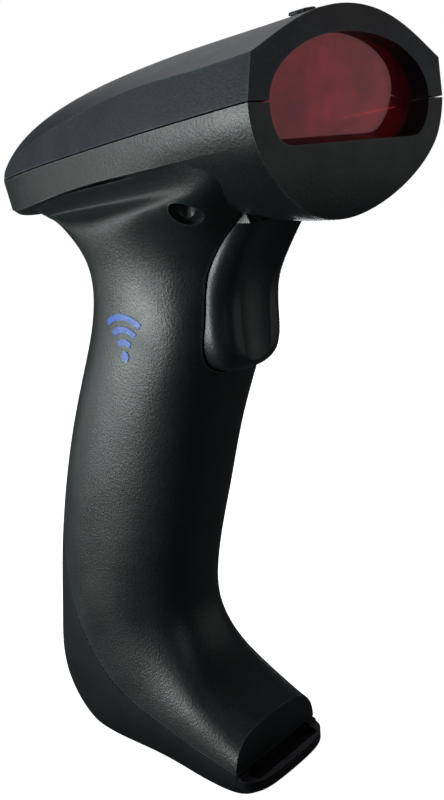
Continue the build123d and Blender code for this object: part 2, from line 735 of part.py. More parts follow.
with BuildPart() as status_board:
    with BuildSketch(Plane.XY.offset(STATUS_BOARD_TOP)):
        with Locations((0, back(11.8))):
            Rectangle(*STATUS_BOARD_SIZE)
        with Locations(*STATUS_POSTS):
            Circle(0.9 + SNUG, mode=Mode.SUBTRACT)
    extrude(amount=-0.8)
status_board.part.label = "status_board"
export_step(status_board.part, "parts/status_board.step")

with BuildPart() as status_leds:
    with BuildSketch(Plane.XY.offset(STATUS_BOARD_TOP)):
        with Locations(*[(x, y + 0.6) for x, y in STEM_PLACES]):
            Rectangle(1.6, 0.8)
    extrude(amount=0.45)
status_leds.part.label = "status_leds"
export_step(status_leds.part, "parts/status_leds.step")

# ---------------------------------------------------------------- trigger
SWITCH_UP = 36.5             # the switch's middle, up the main board
SWITCH_DEPTH = 7.0           # how far its body stands forward of the board
PLUNGER_TIP = 9.5            # how far its plunger stands forward of the board at rest
PLUNGER_RADIUS = 1.5
RIB_GAP = 0.3                # between the trigger's rib and the plunger
HUB_RADIUS = 3.4
EDGE_RADIUS = 4.2            # rounding of the trigger's front edges
TRIGGER_WALL = 2.4
SPRING_START = 32.2          # front end of the trigger's spring
FRONT_CURVE = [
    (16.9, 133.6), (19.6, 129.4), (24.4, 121.6), (26.4, 117.0), (27.0, 112.0), (26.8, 104.0), (27.0, 94.0),
]

VALLEY_RADIUS = 16.0
VALLEY_DEPTH = 0.8
VALLEY_RUN = [
    # distance and height along the finger face, and how much shallower the valley is there
    (26.9, 90.0, 1.2), (26.9, 104.0, 0.3), (27.0, 112.0, 0.0), (26.4, 117.0, 0.2), (24.4, 121.6, 1.0),
    (20.5, 128.0, 4.0),
]

# Everything behind the face that the finger pulls, in side view.
with BuildPart() as trigger_profile:
    with BuildSketch(side_plane()):
        with BuildLine():
            Spline(*FRONT_CURVE)
            Polyline(FRONT_CURVE[-1], (36.6, 94), (36.2, 104), (34.0, 112), (31.6, 116.5))
            Polyline((31.6, 116.5), (31.5, 133.6), FRONT_CURVE[0])
        make_face()
    extrude(amount=TRIGGER_HALF_WIDTH + 1, both=True)

# A round bar laid along the finger face, which hollows a shallow valley into it.
with BuildPart() as trigger_valley:
    with BuildLine():
        bar_line = Spline(*[
            (0, back(distance + VALLEY_DEPTH - VALLEY_RADIUS - fade_out), height)
            for distance, height, fade_out in VALLEY_RUN
        ])
    with BuildSketch(Plane(origin=bar_line @ 0, z_dir=bar_line % 0)):
        Circle(VALLEY_RADIUS)
    sweep()

# Two pockets behind the finger face, either side of a middle rib.
with BuildPart() as trigger_pockets:
    for side in (-1, 1):
        with BuildSketch(side_plane(side * 2.2)):
            with BuildLine():
                Polyline((30.0, 101.5), (29.8, 112), (28.0, 119.5), (25.2, 126), (40, 126), (40, 101.5), close=True)
            make_face()
        extrude(amount=side * (TRIGGER_HALF_WIDTH - TRIGGER_WALL - 2.2))

with BuildPart() as trigger:
    with BuildSketch(cross_plane(44)):
        with BuildLine():
            add(trigger_outline(PIVOT[1] - 1.6))
        make_face()
    extrude(amount=40)
    add(trigger_profile.part, mode=Mode.INTERSECT)
    front_face = trigger.faces().sort_by(SortBy.AREA)[-1]
    fillet(front_face.edges().filter_by(lambda edge: edge.center().Z < 133), EDGE_RADIUS)
    add(trigger_valley.part, mode=Mode.SUBTRACT)
    add(trigger_pockets.part, mode=Mode.SUBTRACT)
    # hub round the pin
    with BuildSketch(side_plane()):
        with Locations(PIVOT):
            Circle(HUB_RADIUS)
        with BuildLine():
            Polyline((18.4, 131), (20.8, 135.8), (27.2, 135.8), (31.4, 131), close=True)
        make_face()
    extrude(amount=TRIGGER_HALF_WIDTH, both=True)
    # rib that works the switch, ending square to the plunger
    with BuildSketch(board_plane(PLUNGER_TIP + RIB_GAP)):
        with Locations((0, SWITCH_UP)):
            Rectangle(4.4, 4.4)
    extrude(amount=9)
    # seat of the spring
    with BuildSketch(cross_plane(SPRING_START - 0.1)):
        with Locations((0, SPRING_HEIGHT)):
            Circle(3.0)
    extrude(amount=4)
    with BuildSketch(side_plane()):
        with Locations(PIVOT):
            Circle(PIN_RADIUS + RUNNING)
    extrude(amount=TRIGGER_HALF_WIDTH, both=True, mode=Mode.SUBTRACT)
trigger.part.label = "trigger"
export_step(trigger.part, "parts/trigger.step")

with BuildPart() as trigger_pin:
    with BuildSketch(side_plane()):
        with Locations(PIVOT):
            Circle(PIN_RADIUS)
    extrude(amount=TRIGGER_HALF_WIDTH + SLIDE + EAR_THICKNESS, both=True)
    chamfer(trigger_pin.faces().filter_by(Axis.X).edges(), 0.2)
trigger_pin.part.label = "trigger_pin"
export_step(trigger_pin.part, "parts/trigger_pin.step")

SPRING_WIRE = 0.22           # wire radius
SPRING_RADIUS = 2.0
SPRING_PITCH = 1.6
SPRING_TRAVEL = SEAT_DISTANCE - SPRING_START - 2.4 * SPRING_WIRE

with BuildPart() as trigger_spring:
    with BuildLine():
        spring_end = (0, back(SPRING_START + 1.2 * SPRING_WIRE), SPRING_HEIGHT)
        coil = Helix(SPRING_PITCH, SPRING_TRAVEL, SPRING_RADIUS, center=spring_end, direction=(0, 1, 0))
    with BuildSketch(Plane(origin=coil @ 0, z_dir=coil % 0)):
        Circle(SPRING_WIRE)
    sweep(is_frenet=True)
trigger_spring.part.label = "trigger_spring"
export_step(trigger_spring.part, "parts/trigger_spring.step")

with BuildPart() as trigger_switch:
    with BuildSketch(board_plane()):
        with Locations((0, SWITCH_UP)):
            RectangleRounded(8, 8, 0.6)
    extrude(amount=SWITCH_DEPTH)
    with BuildSketch(board_plane(2.5)):
        with Locations((0, SWITCH_UP)):
            Circle(PLUNGER_RADIUS + RUNNING)
    extrude(amount=SWITCH_DEPTH, mode=Mode.SUBTRACT)
trigger_switch.part.label = "trigger_switch"
export_step(trigger_switch.part, "parts/trigger_switch.step")

with BuildPart() as switch_plunger:
    with BuildSketch(board_plane(4.5)):
        with Locations((0, SWITCH_UP)):
            Circle(PLUNGER_RADIUS)
    extrude(amount=PLUNGER_TIP - 4.5)
    chamfer(switch_plunger.faces().sort_by(Axis.Y)[0].edges(), 0.3)
switch_plunger.part.label = "switch_plunger"
export_step(switch_plunger.part, "parts/switch_plunger.step")

# ---------------------------------------------------------------- main board
BOARD_WIDTH = 19.0
BOARD_ENDS = (-34.0, 41.0)   # lower and upper end, up the board from its centre
CHIP_HEIGHT = 1.0

with BuildPart() as main_board:
    with BuildSketch(board_plane()):
        with Locations((0, sum(BOARD_ENDS) / 2)):
            RectangleRounded(BOARD_WIDTH, BOARD_ENDS[1] - BOARD_ENDS[0], 1.0)
        with Locations(*BOARD_SCREWS, *HOLDER_SCREWS):
            Circle(SMALL_SCREW_RADIUS + 0.1, mode=Mode.SUBTRACT)
    extrude(amount=-BOARD_THICKNESS)
main_board.part.label = "main_board"
export_step(main_board.part, "parts/main_board.step")

with BuildPart() as decoder_chip:
    with BuildSketch(board_plane()):
        with Locations((0, -3.0)):
            Rectangle(7, 7)
    extrude(amount=CHIP_HEIGHT)
decoder_chip.part.label = "decoder_chip"
export_step(decoder_chip.part, "parts/decoder_chip.step")

with BuildPart() as radio_module:
    with BuildSketch(board_plane()):
        with Locations((-4.8, 27.5)):
            Rectangle(8.6, 8.4)
    extrude(amount=1.8)
radio_module.part.label = "radio_module"
export_step(radio_module.part, "parts/radio_module.step")

with BuildPart() as buzzer:
    with BuildSketch(board_plane()):
        with Locations((0, -20.8)):
            Circle(4.5)
    extrude(amount=2.6)
    with BuildSketch(board_plane(2.0)):
        with Locations((0, -20.8)):
            Circle(0.8)
    extrude(amount=2, mode=Mode.SUBTRACT)
buzzer.part.label = "buzzer"
export_step(buzzer.part, "parts/buzzer.step")


def screws(plane, places, shank, length, head, rise):
    """A group of pan-head screws whose heads seat on the plane and whose shanks run against its normal."""
    with BuildPart() as group:
        with BuildSketch(plane):
            with Locations(*places):
                Circle(head)
        extrude(amount=rise)
        with BuildSketch(plane):
            with Locations(*places):
                Circle(shank)
        extrude(amount=-length)
        with BuildSketch(plane.offset(rise)):
            with Locations(*places):
                Rectangle(head * 1.1, head * 0.26)
                Rectangle(head * 0.26, head * 1.1)
        extrude(amount=-rise * 0.45, mode=Mode.SUBTRACT)
    return group.part


# ---------------------------------------------------------------- battery and its holder
BATTERY_BACK = -15.4         # battery's axis, behind the board's front face
BATTERY_LOW = -54.0          # battery's lower end, up the board from its centre
HOLDER_BACK = (-4.6, -6.1)   # front and rear face of the holder's backbone
CONTACT_ROOM = 1.6
HOLDER_LOW = BATTERY_LOW - CONTACT_ROOM - 1.6
HOLDER_HIGH = BATTERY_LOW + BATTERY_LENGTH + CONTACT_ROOM + 1.6
battery_plane = board_plane(BATTERY_BACK)


def across_battery(up):
    """A plane across the battery, this far up the board; its normal points up the battery."""
    return Plane(
        origin=battery_plane.from_local_coords((0, up, 0)), x_dir=(1, 0, 0), z_dir=battery_plane.y_dir
    )


with BuildPart() as battery:
    with BuildSketch(across_battery(BATTERY_LOW)):
        Circle(BATTERY_RADIUS)
    extrude(amount=BATTERY_LENGTH)
    fillet(battery.edges().filter_by(GeomType.CIRCLE), 0.6)
battery.part.label = "battery"
export_step(battery.part, "parts/battery.step")

with BuildPart() as battery_holder:
    with BuildSketch(board_plane(HOLDER_BACK[0])):
        with Locations((0, (HOLDER_LOW + HOLDER_HIGH) / 2)):
            RectangleRounded(16, HOLDER_HIGH - HOLDER_LOW, 1.0)
    extrude(amount=HOLDER_BACK[1] - HOLDER_BACK[0])
    for low in (HOLDER_LOW, HOLDER_HIGH - 1.6):
        with BuildSketch(board_plane(HOLDER_BACK[0])):
            with Locations((0, low + 0.8)):
                Rectangle(16, 1.6)
        extrude(amount=-16)
    with BuildSketch(board_plane(HOLDER_BACK[0])):
        with Locations(*HOLDER_SCREWS):
            Circle(2.4)
    extrude(amount=-BOARD_THICKNESS - HOLDER_BACK[0])
    with BuildSketch(board_plane(HOLDER_BACK[1])):
        with Locations(*HOLDER_SCREWS):
            Circle(SMALL_SCREW_RADIUS + SNUG)
    extrude(amount=-HOLDER_BACK[1], mode=Mode.SUBTRACT)
battery_holder.part.label = "battery_holder"
export_step(battery_holder.part, "parts/battery_holder.step")

with BuildPart() as battery_contacts:
    for up, inward in ((BATTERY_LOW - CONTACT_ROOM, 1), (BATTERY_LOW + BATTERY_LENGTH + CONTACT_ROOM, -1)):
        with BuildSketch(across_battery(up)):
            Rectangle(9, 9)
        extrude(amount=inward * 0.4)
        with BuildSketch(across_battery(up)):
            Circle(2.6)
        extrude(amount=inward * CONTACT_ROOM)
battery_contacts.part.label = "battery_contacts"
export_step(battery_contacts.part, "parts/battery_contacts.step")

# ---------------------------------------------------------------- charging board, its socket and leads
LEAD_RADIUS = 0.6
LEAD_ROUTE = [(62.8, POWER_BOARD_HEIGHT + BOARD_THICKNESS), (62.8, 20), (60.8, 30), (59.6, 38.2)]

with BuildPart() as power_board:
    with BuildSketch(Plane.XY.offset(POWER_BOARD_HEIGHT)):
        with Locations((0, back(PORT_DISTANCE))):
            RectangleRounded(18, 22, 1.0)
        with Locations(*POWER_BOARD_POSTS):
            Circle(0.9 + SNUG, mode=Mode.SUBTRACT)
    extrude(amount=BOARD_THICKNESS)
power_board.part.label = "power_board"
export_step(power_board.part, "parts/power_board.step")

with BuildPart() as charge_port:
    with BuildSketch(Plane.XY.offset(1.0)):
        with Locations((0, back(PORT_DISTANCE))):
            RectangleRounded(8.2, 4.4, 0.9)
    extrude(amount=POWER_BOARD_HEIGHT - 1.0)
    with BuildSketch(Plane.XY.offset(1.0)):
        with Locations((0, back(PORT_DISTANCE))):
            RectangleRounded(7.2, 3.4, 0.6)
            Rectangle(4.6, 0.8, mode=Mode.SUBTRACT)
    extrude(amount=5.5, mode=Mode.SUBTRACT)
charge_port.part.label = "charge_port"
export_step(charge_port.part, "parts/charge_port.step")

with BuildPart() as power_leads:
    for x in (-2.0, 2.0):
        with BuildLine(side_plane(x)) as route:
            FilletPolyline(*LEAD_ROUTE, radius=6)
        with BuildSketch(Plane(origin=route.line @ 0, z_dir=route.line % 0)):
            Circle(LEAD_RADIUS)
        sweep(path=route.line)
power_leads.part.label = "power_leads"
export_step(power_leads.part, "parts/power_leads.step")

# ---------------------------------------------------------------- scan engine
ENGINE_DECK = ENGINE_FLOOR + 1.6                 # top of the chassis' floor
CHASSIS_HALF_WIDTH = 17.2
CHASSIS_LENGTH = 30.0
LASER_RADIUS = 3.0
LENS_CENTRE = (9.0, 20.0)                        # collecting lens: x, distance
LENS_RADIUS = 5.0
COIL_RADIUS = 3.2
COIL_START = 9.0                                 # coil's front, behind the mirror's face
PIVOT_BEHIND = 3.2                               # mirror's pivot, behind its face
PIVOT_RADIUS = 0.6


def mirror_plane(height):
    """A level plane at the mirror: local x runs along its face and local y points behind it."""
    return Plane(origin=(MIRROR[0], back(MIRROR[1]), height), x_dir=(1, 1, 0), z_dir=(0, 0, 1))


def behind_mirror(distance):
    """An upright plane this far behind the mirror's face and facing away from it, at the beam's height."""
    level = mirror_plane(OPTICS_HEIGHT)
    return Plane(origin=level.from_local_coords((0, distance, 0)), x_dir=(-1, -1, 0), z_dir=level.y_dir)


with BuildPart() as coil_space:
    with BuildSketch(behind_mirror(COIL_START)):
        Circle(COIL_RADIUS + SNUG)
    extrude(amount=3)

with BuildPart() as engine_chassis:
    with BuildSketch(Plane.XY.offset(ENGINE_FLOOR)):
        with Locations((0, back(ENGINE_CENTRE))):
            Rectangle(2 * CHASSIS_HALF_WIDTH, CHASSIS_LENGTH)
        with Locations(*ENGINE_SCREWS):
            RectangleRounded(5.2, 5.0, 1.2)
    extrude(amount=ENGINE_DECK - ENGINE_FLOOR)
    # side walls
    with BuildSketch(Plane.XY.offset(ENGINE_DECK)):
        with Locations(*mirrored(CHASSIS_HALF_WIDTH - 0.6, ENGINE_CENTRE)):
            Rectangle(1.2, CHASSIS_LENGTH)
    extrude(amount=6.4)
    # cradle of the laser
    with BuildSketch(Plane.XY.offset(ENGINE_DECK)):
        with Locations((9.5, back(MIRROR[1]))):
            Rectangle(9, 7.4)
    extrude(amount=OPTICS_HEIGHT - ENGINE_DECK)
    # wall of the collecting lens and stand of the sensor behind it
    with BuildSketch(Plane.XY.offset(ENGINE_DECK)):
        with Locations((LENS_CENTRE[0], back(LENS_CENTRE[1]))):
            Rectangle(13, 2)
    extrude(amount=11.8)
    with BuildSketch(Plane.XY.offset(ENGINE_DECK)):
        with Locations((LENS_CENTRE[0], back(27.9))):
            Rectangle(8, 1.0)
    extrude(amount=8.8)
    # stand of the coil
    with BuildSketch(mirror_plane(ENGINE_DECK)):
        with Locations((0, COIL_START + 1.5)):
            Rectangle(5, 2.4)
    extrude(amount=4.4)
    add(coil_space.part, mode=Mode.SUBTRACT)
    with BuildSketch(side_plane(5)):
        with Locations((MIRROR[1], OPTICS_HEIGHT)):
            Circle(LASER_RADIUS + SNUG)
    extrude(amount=9, mode=Mode.SUBTRACT)
    with BuildSketch(cross_plane(LENS_CENTRE[1] + 1)):
        with Locations((LENS_CENTRE[0], OPTICS_HEIGHT)):
            Circle(LENS_RADIUS + SNUG)
    extrude(amount=2, mode=Mode.SUBTRACT)
    with BuildSketch(mirror_plane(ENGINE_FLOOR)):
        with Locations((0, PIVOT_BEHIND)):
            Circle(PIVOT_RADIUS + SNUG)
    extrude(amount=2, mode=Mode.SUBTRACT)
    with BuildSketch(Plane.XY.offset(ENGINE_FLOOR)):
        with Locations(*ENGINE_SCREWS):
            Circle(SMALL_SCREW_RADIUS + 0.1)
    extrude(amount=2, mode=Mode.SUBTRACT)
engine_chassis.part.label = "engine_chassis"
export_step(engine_chassis.part, "parts/engine_chassis.step")

with BuildPart() as laser_module:
    with BuildSketch(side_plane(4.0)):
        with Locations((MIRROR[1], OPTICS_HEIGHT)):
            Circle(LASER_RADIUS)
    extrude(amount=11.6)
    with BuildSketch(side_plane(4.0)):
        with Locations((MIRROR[1], OPTICS_HEIGHT)):
            Circle(1.2)
    extrude(amount=1.5, mode=Mode.SUBTRACT)
laser_module.part.label = "laser_module"
export_step(laser_module.part, "parts/laser_module.step")

with BuildPart() as scan_mirror:
    with BuildSketch(mirror_plane(OPTICS_HEIGHT - 4)):
        with Locations((0, 0.5)):
            Rectangle(10, 1.0)
    extrude(amount=8)
scan_mirror.part.label = "scan_mirror"
export_step(scan_mirror.part, "parts/scan_mirror.step")

with BuildPart() as mirror_carrier:
    with BuildSketch(mirror_plane(OPTICS_HEIGHT - 3)):
        with Locations((0, 1.6)):
            Rectangle(7, 1.2)
        with Locations((0, PIVOT_BEHIND)):
            Circle(1.7)
        with Locations((0, 5.0)):
            Rectangle(2.0, 2.0)
        with Locations((0, PIVOT_BEHIND)):
            Circle(PIVOT_RADIUS + RUNNING, mode=Mode.SUBTRACT)
    extrude(amount=6)
mirror_carrier.part.label = "mirror_carrier"
export_step(mirror_carrier.part, "parts/mirror_carrier.step")

with BuildPart() as mirror_magnet:
    with BuildSketch(mirror_plane(OPTICS_HEIGHT - 1.5)):
        with Locations((0, 7.0)):
            Rectangle(3, 2)
    extrude(amount=3)
mirror_magnet.part.label = "mirror_magnet"
export_step(mirror_magnet.part, "parts/mirror_magnet.step")

with BuildPart() as mirror_pivot:
    with BuildSketch(mirror_plane(ENGINE_FLOOR)):
        with Locations((0, PIVOT_BEHIND)):
            Circle(PIVOT_RADIUS)
    extrude(amount=OPTICS_HEIGHT + 4.2 - ENGINE_FLOOR)
mirror_pivot.part.label = "mirror_pivot"
export_step(mirror_pivot.part, "parts/mirror_pivot.step")

with BuildPart() as drive_coil:
    with BuildSketch(behind_mirror(COIL_START)):
        Circle(COIL_RADIUS)
        Circle(1.1, mode=Mode.SUBTRACT)
    extrude(amount=3)
drive_coil.part.label = "drive_coil"
export_step(drive_coil.part, "parts/drive_coil.step")

with BuildPart() as collector_lens:
    with BuildSketch(cross_plane(LENS_CENTRE[1] + 1)):
        with Locations((LENS_CENTRE[0], OPTICS_HEIGHT)):
            Circle(LENS_RADIUS)
    extrude(amount=2.8)
    fillet(collector_lens.faces().sort_by(Axis.Y)[0].edges(), 2.2)
collector_lens.part.label = "collector_lens"
export_step(collector_lens.part, "parts/collector_lens.step")

with BuildPart() as photo_sensor:
    with BuildSketch(cross_plane(27.4)):
        with Locations((LENS_CENTRE[0], OPTICS_HEIGHT)):
            Rectangle(4, 4)
    extrude(amount=1.4)
photo_sensor.part.label = "photo_sensor"
export_step(photo_sensor.part, "parts/photo_sensor.step")

ENGINE_BOARD_FRONT = ENGINE_CENTRE + CHASSIS_LENGTH / 2
with BuildPart() as engine_board:
    with BuildSketch(cross_plane(ENGINE_BOARD_FRONT + 1.2)):
        with Locations((0, ENGINE_FLOOR + 5.2)):
            RectangleRounded(32, 10.4, 0.8)
    extrude(amount=1.2)
engine_board.part.label = "engine_board"
export_step(engine_board.part, "parts/engine_board.step")

# Ribbon from the main board's rear face up to the engine board's rear face.
RIBBON_HALF = 0.15
ribbon_foot = board_plane(-BOARD_THICKNESS - RIBBON_HALF - SNUG).from_local_coords((0, 35.0, 0))
ribbon_top = board_plane(-BOARD_THICKNESS - RIBBON_HALF - SNUG).from_local_coords((0, 40.5, 0))
ribbon_back = ENGINE_BOARD_FRONT + 1.2 + RIBBON_HALF + SNUG
RIBBON_ROUTE = [
    (ribbon_foot.Y - NOSE_Y, ribbon_foot.Z),
    (ribbon_top.Y - NOSE_Y, ribbon_top.Z),
    (51.2, 122),
    (50.6, 134),
    (ribbon_back, 143),
    (ribbon_back, ENGINE_FLOOR + 9),
]
with BuildPart() as flex_cable:
    with BuildSketch(side_plane()):
        with BuildLine():
            Polyline(*RIBBON_ROUTE)
        trace(line_width=2 * RIBBON_HALF)
    extrude(amount=6, both=True)
flex_cable.part.label = "flex_cable"
export_step(flex_cable.part, "parts/flex_cable.step")

# ---------------------------------------------------------------- screws
downward = Plane(origin=(0, 0, 0), x_dir=(1, 0, 0), z_dir=(0, 0, -1))


def seen_from_below(places):
    """The same places in a plane that looks down."""
    return [(x, -y) for x, y in places]


CASE_HEAD = (HEAD_RADIUS, HEAD_HEIGHT)
front_screws = screws(
    downward.offset(-BORE_CEILING), seen_from_below(COVER_SCREWS), SCREW_RADIUS, 12, *CASE_HEAD
)
tail_screw = screws(
    downward.offset(-TAIL_CEILING), seen_from_below([TAIL_SCREW]), SCREW_RADIUS, 11, *CASE_HEAD
)
cover_screws = front_screws + tail_screw
cover_screws.label = "cover_screws"
export_step(cover_screws, "parts/cover_screws.step")

base_screws = screws(
    downward.offset(-HEAD_HEIGHT - 0.3), seen_from_below(BASE_SCREWS), SCREW_RADIUS, 12, *CASE_HEAD
)
base_screws.label = "base_screws"
export_step(base_screws, "parts/base_screws.step")

engine_screws = screws(Plane.XY.offset(ENGINE_DECK), ENGINE_SCREWS, SMALL_SCREW_RADIUS, 4.6, *SMALL_HEAD)
engine_screws.label = "engine_screws"
export_step(engine_screws, "parts/engine_screws.step")

board_rear = Plane(
    origin=board_plane(-BOARD_THICKNESS).origin, x_dir=(-1, 0, 0), z_dir=-board_plane().z_dir
)
board_screws = screws(
    board_rear, [(-x, up) for x, up in BOARD_SCREWS], SMALL_SCREW_RADIUS, 6.2, *SMALL_HEAD
)
board_screws.label = "board_screws"
export_step(board_screws, "parts/board_screws.step")

holder_screws = screws(board_plane(), HOLDER_SCREWS, SMALL_SCREW_RADIUS, 5.8, *SMALL_HEAD)
holder_screws.label = "holder_screws"
export_step(holder_screws, "parts/holder_screws.step")

# ---------------------------------------------------------------- wireless mark on the flank
MARK = (52.0, 102.2)         # middle of its dot: distance, height
MARK_RISE = 0.12             # how far the print stands off the surface
MARK_LINE = 1.4              # thickness of its arcs
MARK_RADII = (3.2, 6.0, 8.8)
MARK_ARC = (52, 76)          # where each arc starts and how far it turns, degrees
mark_skin = grip_solid(-MARK_RISE)

with BuildPart() as wireless_mark:
    with BuildSketch(side_plane(-FOOT_HALF_WIDTH - 4)):
        with Locations(MARK):
            Circle(1.2)
        for radius in MARK_RADII:
            with BuildLine():
                outer = CenterArc(MARK, radius + MARK_LINE / 2, *MARK_ARC)
                inner = CenterArc(MARK, radius - MARK_LINE / 2, *MARK_ARC)
                Line(outer @ 0, inner @ 0)
                Line(outer @ 1, inner @ 1)
            make_face()
    extrude(amount=FOOT_HALF_WIDTH)
    add(mark_skin, mode=Mode.INTERSECT)
    add(grip_blank.part, mode=Mode.SUBTRACT)
wireless_mark.part.label = "wireless_mark"
export_step(wireless_mark.part, "parts/wireless_mark.step")
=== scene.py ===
import bpy
from mathutils import Matrix, Vector

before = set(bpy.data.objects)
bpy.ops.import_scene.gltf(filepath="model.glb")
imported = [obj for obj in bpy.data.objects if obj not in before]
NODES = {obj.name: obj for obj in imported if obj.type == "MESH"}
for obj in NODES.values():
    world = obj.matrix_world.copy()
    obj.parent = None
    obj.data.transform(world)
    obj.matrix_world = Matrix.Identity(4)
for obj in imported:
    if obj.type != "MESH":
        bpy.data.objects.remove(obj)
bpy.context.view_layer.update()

# A handheld barcode scanner standing on its sole. +X is the user's left, -Y is the way the
# window looks, +Z is up. All lengths are in metres.

MM = 0.001

NOISE_LOW = 0.3              # nearly all noise lies between these two
NOISE_HIGH = 0.7
EDGE_SAMPLES = 4
FLAT_COSINE = 0.985          # a face counts as flat where its rounded normal turns less than this
SHARP_COSINE = 0.86          # and as a full edge where it turns more than this
EDGE_RADIUS = 0.7 * MM       # edges sharper than this get a painted highlight
EDGE_HIGHLIGHT_PATCH = 5 * MM          # the painted edge highlight comes and goes over this length
POLISH_PATCH = 9 * MM        # size of duller and shinier patches
CROWN_SHEEN_FOOT = 0.163           # the crown's painted sheen fades in from this height
CROWN_SHEEN_TOP = 0.1695           # and is full at this one

FLOOR_HALF = 6.0
FLOOR_GLOW = 0.97
BACKDROP_RADIUS = 9.0
BACKDROP_GLOW = 1.0
STUDIO_BRIGHTNESS = 0.045
MIDDLE = (0, 0, 0.09)        # what most lights shine at

CAMERA_PLACE = (-0.16521, -0.15756, 0.14783)
CAMERA_RIGHT = (0.6413, -0.7647, -0.0635)
CAMERA_FORWARD = (0.7304, 0.6337, -0.2550)
CAMERA_LENS = 45.0           # millimetres, as Blender takes it
CAMERA_SENSOR = 36.0
CAMERA_NEAR = 0.01
CAMERA_FAR = 30.0


# ---------------------------------------------------------------- material helpers

class Nodes:
    """A new material with a Principled shader, and short ways of adding nodes to it."""

    def __init__(self, name):
        self.material = bpy.data.materials.new(name + "_look")
        self.material.use_nodes = True
        self.tree = self.material.node_tree
        self.shader = self.tree.nodes["Principled BSDF"]
        coordinates = self.tree.nodes.new("ShaderNodeTexCoord")
        self.place = coordinates.outputs["Object"]

    def link(self, source, target):
        self.tree.links.new(source, target)

    def put(self, target, value):
        """A socket takes another node's output, or a plain value."""
        if hasattr(value, "is_output"):
            self.link(value, target)
        else:
            target.default_value = value

    def noise(self, size, detail=2.0, roughness=0.5, stretch=(1, 1, 1)):
        """Noise whose features are about `size` across, as a value from 0 to 1."""
        place = self.tree.nodes.new("ShaderNodeMapping")
        place.inputs["Scale"].default_value = stretch
        self.link(self.place, place.inputs["Vector"])
        node = self.tree.nodes.new("ShaderNodeTexNoise")
        self.link(place.outputs["Vector"], node.inputs["Vector"])
        node.inputs["Scale"].default_value = 1 / size
        node.inputs["Detail"].default_value = detail
        node.inputs["Roughness"].default_value = roughness
        return node.outputs["Fac"]

    def ramp(self, value, low, high, start=0.0, end=1.0):
        """Maps low..high of a value to start..end, and holds it there outside."""
        node = self.tree.nodes.new("ShaderNodeMapRange")
        self.put(node.inputs["Value"], value)
        limits = {"From Min": low, "From Max": high, "To Min": start, "To Max": end}
        for socket, number in limits.items():
            node.inputs[socket].default_value = number
        return node.outputs["Result"]

    def spread(self, noise, start=0.0, end=1.0):
        """Stretches noise over the whole of start..end."""
        return self.ramp(noise, NOISE_LOW, NOISE_HIGH, start, end)

    def product(self, first, second):
        """Two values multiplied."""
        node = self.tree.nodes.new("ShaderNodeMath")
        node.operation = "MULTIPLY"
        self.put(node.inputs[0], first)
        self.put(node.inputs[1], second)
        return node.outputs[0]

    def mix(self, share, first, second):
        """A colour between two colours."""
        node = self.tree.nodes.new("ShaderNodeMix")
        node.data_type = "RGBA"
        self.put(node.inputs["Factor"], share)
        for socket, colour in ((node.inputs[6], first), (node.inputs[7], second)):
            self.put(socket, colour if hasattr(colour, "is_output") else (*colour, 1.0))
        return node.outputs[2]

    def height(self):
        """How high a place on the object is."""
        node = self.tree.nodes.new("ShaderNodeSeparateXYZ")
        self.link(self.place, node.inputs[0])
        return node.outputs["Z"]

    def edges(self, radius):
        """0 on flat and gently curved faces, rising towards 1 on edges sharper than the radius."""
        bevel = self.tree.nodes.new("ShaderNodeBevel")
        bevel.samples = EDGE_SAMPLES
        bevel.inputs["Radius"].default_value = radius
        geometry = self.tree.nodes.new("ShaderNodeNewGeometry")
        dot = self.tree.nodes.new("ShaderNodeVectorMath")
        dot.operation = "DOT_PRODUCT"
        self.link(bevel.outputs[0], dot.inputs[0])
        self.link(geometry.outputs["Normal"], dot.inputs[1])
        return self.ramp(dot.outputs["Value"], FLAT_COSINE, SHARP_COSINE)

    def edge_highlight(self, least, most):
        """How strongly the edges get a painted highlight, between two shares."""
        patches = self.ramp(self.noise(EDGE_HIGHLIGHT_PATCH, 4.0), 0.38, 0.68, least, most)
        return self.product(self.edges(EDGE_RADIUS), patches)

    def bump(self, height, depth):
        """Relief of that depth."""
        node = self.tree.nodes.new("ShaderNodeBump")
        node.inputs["Strength"].default_value = 1.0
        node.inputs["Distance"].default_value = depth
        self.link(height, node.inputs["Height"])
        return node.outputs["Normal"]

    def finish(self, **sockets):
        """Sets the shader's sockets, and gives back the material."""
        for name, value in sockets.items():
            socket = self.shader.inputs[name.replace("_", " ")]
            self.put(socket, (*value, 1.0) if isinstance(value, tuple) else value)
        return self.material


def grained_plastic(name, dark, light, roughness, grain, depth, highlight_colour, shine=0.5):
    """Moulded plastic with spark-eroded grain, cloudy in tone, with a painted highlight along its edges."""
    m = Nodes(name)
    cloud = m.noise(14 * MM, 3.0)
    speckle = m.noise(grain * 1.6, 1.0)
    base = m.mix(m.spread(cloud), dark, light)
    spotted = m.mix(m.ramp(speckle, 0.45, 0.75, 0.0, 0.3), base, tuple(1.8 * c for c in light))
    # Painted highlight: the edges are painted paler, in patches.
    colour = m.mix(m.edge_highlight(0.15, 0.75), spotted, highlight_colour)
    gloss = m.spread(m.noise(POLISH_PATCH, 3.0), roughness - 0.04, roughness + 0.05)
    relief = m.bump(m.noise(grain, 2.0, 0.6), depth)
    return m.finish(Base_Color=colour, Roughness=gloss, Normal=relief, Specular_IOR_Level=shine)


def smooth_plastic(name, colour, roughness, texture=1.2 * MM):
    """Plain moulded plastic with slight flow marks, a faint orange-peel surface and a painted highlight
    along sharp edges.
    """
    m = Nodes(name)
    flow = m.noise(11 * MM, 3.0, stretch=(1, 1, 0.4))
    darker = tuple(0.85 * c for c in colour)
    lighter = tuple(1.2 * c for c in colour)
    edge_highlight_tone = tuple(min(1.0, 2.2 * c + 0.03) for c in colour)
    tone = m.mix(m.spread(flow), darker, lighter)
    # Painted highlight: sharp edges are painted paler.
    highlighted = m.mix(m.product(m.edges(0.5 * MM), 0.3), tone, edge_highlight_tone)
    gloss = m.spread(m.noise(6 * MM), roughness - 0.05, roughness + 0.06)
    relief = m.bump(m.noise(texture, 2.0), 0.01 * MM)
    return m.finish(Base_Color=highlighted, Roughness=gloss, Normal=relief)


